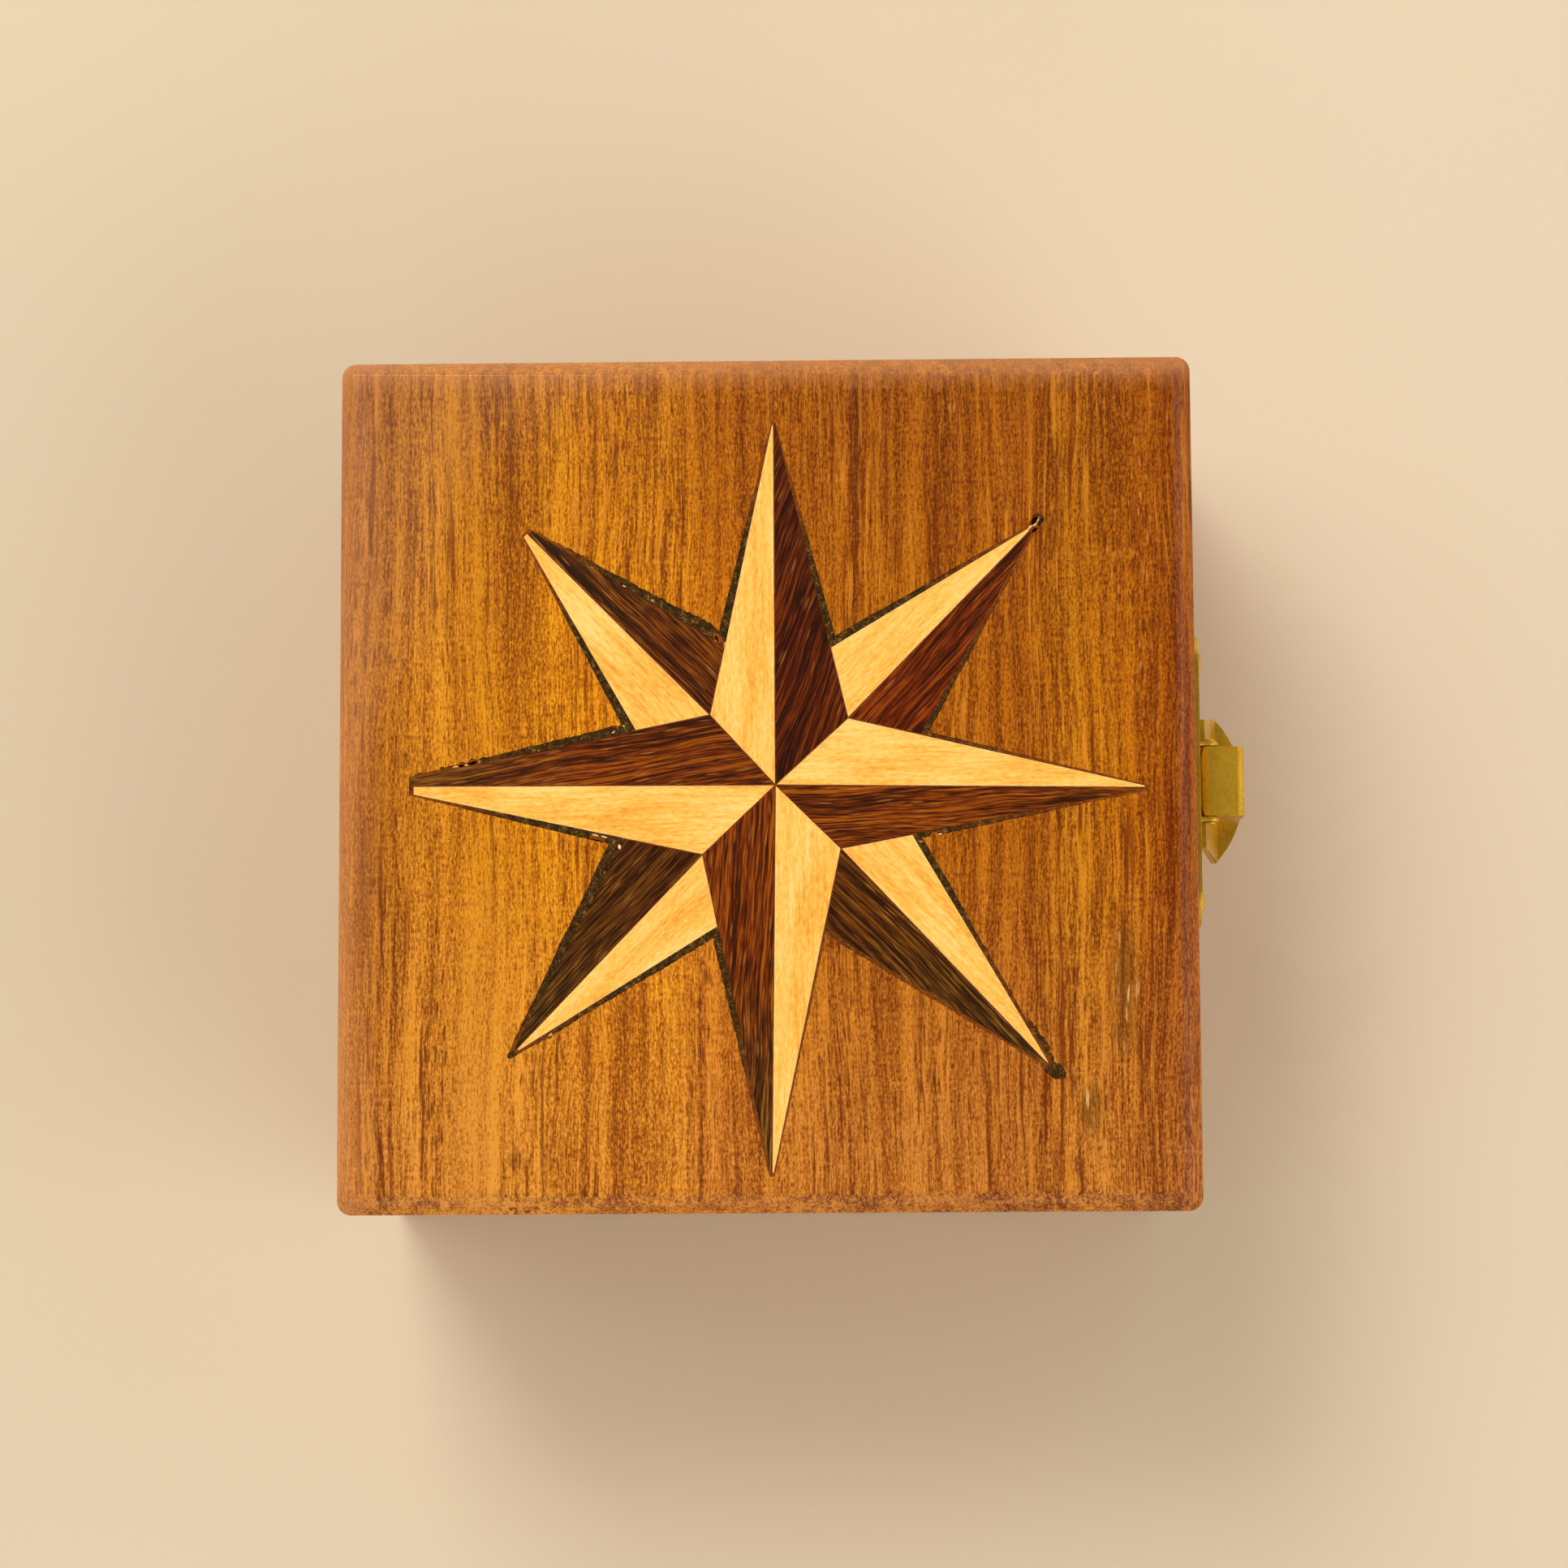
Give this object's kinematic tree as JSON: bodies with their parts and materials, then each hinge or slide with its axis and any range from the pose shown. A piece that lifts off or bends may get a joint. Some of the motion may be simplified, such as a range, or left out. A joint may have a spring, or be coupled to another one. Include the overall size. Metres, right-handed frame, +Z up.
{
  "type": "inlaid wooden box",
  "caption": "Small square hardwood box with a hinged lid, a two-tone eight-armed marquetry star let into the lid, and a brass swinging catch on the front.",
  "frame": {"origin": "centre of the bottom face that the box stands on", "axes": "+Z up through the lid, -Y towards the front with the catch, +Y towards the hinges, X along the hinge axis"},
  "size_m": [0.1, 0.1073, 0.06],
  "materials": {
    "lid_wood": "straight-grained golden brown hardwood under a thin satin lacquer",
    "wall_wood": "the lid's hardwood, satin lacquer outside and bare inside",
    "light_inlay": "pale creamy hardwood with fine flecks, sanded flush and lacquered",
    "dark_inlay": "dark reddish brown hardwood with near-black streaks, lacquered",
    "filler": "dark glue and sawdust filler, uneven and slightly sunk",
    "hinge_brass": "plain brass, lightly tarnished",
    "clasp_brass": "stamped brass, polished but tarnished in the folds"
  },
  "bodies": {
    "body": {"wall_front": "wall_wood", "wall_back": "wall_wood", "wall_left": "wall_wood", "wall_right": "wall_wood", "bottom_panel": "wall_wood", "hinge_left_body_leaf": "hinge_brass", "hinge_right_body_leaf": "hinge_brass", "hinge_left_pin": "hinge_brass", "hinge_right_pin": "hinge_brass", "hinge_body_nails": "hinge_brass", "clasp_body_plate": "clasp_brass", "clasp_body_nails": "clasp_brass"},
    "lid": {"lid_panel": "lid_wood", "lid_rail_front": "lid_wood", "lid_rail_back": "lid_wood", "lid_rail_left": "lid_wood", "lid_rail_right": "lid_wood", "star_n_light": "light_inlay", "star_n_dark": "dark_inlay", "star_ne_light": "light_inlay", "star_ne_dark": "dark_inlay", "star_e_light": "light_inlay", "star_e_dark": "dark_inlay", "star_se_light": "light_inlay", "star_se_dark": "dark_inlay", "star_s_light": "light_inlay", "star_s_dark": "dark_inlay", "star_sw_light": "light_inlay", "star_sw_dark": "dark_inlay", "star_w_light": "light_inlay", "star_w_dark": "dark_inlay", "star_nw_light": "light_inlay", "star_nw_dark": "dark_inlay", "inlay_filler": "filler", "hinge_left_lid_leaf": "hinge_brass", "hinge_right_lid_leaf": "hinge_brass", "hinge_lid_nails": "hinge_brass", "clasp_lid_plate": "clasp_brass", "clasp_pin": "clasp_brass", "clasp_lid_nails": "clasp_brass"},
    "lever": {"clasp_lever": "clasp_brass"}
  },
  "joints": [
    {"name": "lid_hinge", "type": "hinge", "parent": "body", "child": "lid", "pos_m": [0, 0.048, 0.04385], "axis": [-1, 0, 0], "range_deg": [0, 105]},
    {"name": "catch_lever", "type": "hinge", "parent": "lid", "child": "lever", "pos_m": [0.0005, -0.0522, 0.0492], "axis": [-1, 0, 0], "range_deg": [0, 88]}
  ]
}
